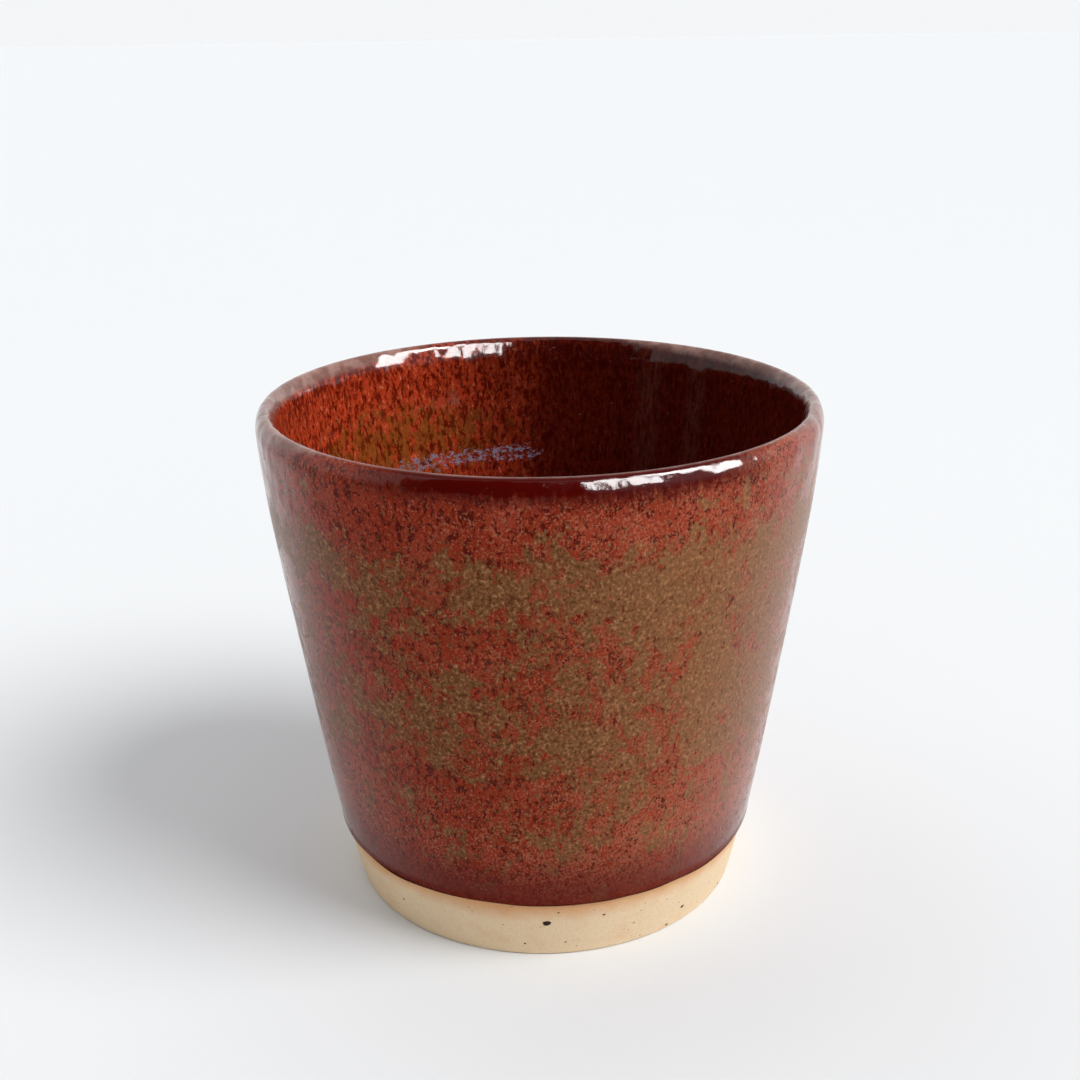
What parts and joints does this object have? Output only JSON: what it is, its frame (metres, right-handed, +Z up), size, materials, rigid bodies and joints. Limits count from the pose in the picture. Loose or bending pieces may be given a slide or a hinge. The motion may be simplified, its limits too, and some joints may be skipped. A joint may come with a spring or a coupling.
{
  "type": "drinking tumbler",
  "caption": "Handle-less thrown stoneware tumbler with a tapered side, glossy iron-red glaze inside and out, and a bare clay foot.",
  "frame": {"origin": "centre of the ring that the cup stands on", "axes": "+Z up along the axis of the turned shape, -Y towards the side that the picture shows"},
  "size_m": [0.092, 0.092, 0.0848],
  "materials": {
    "bare_clay": "matte",
    "liner_glaze": "gloss",
    "outer_glaze": "gloss",
    "rim_glaze": "gloss",
    "iron_speck": "satin"
  },
  "bodies": {
    "root": {"clay_body": "bare_clay", "liner_glaze": "liner_glaze", "outer_glaze": "outer_glaze", "rim_glaze": "rim_glaze", "iron_specks": "iron_speck"}
  },
  "joints": []
}
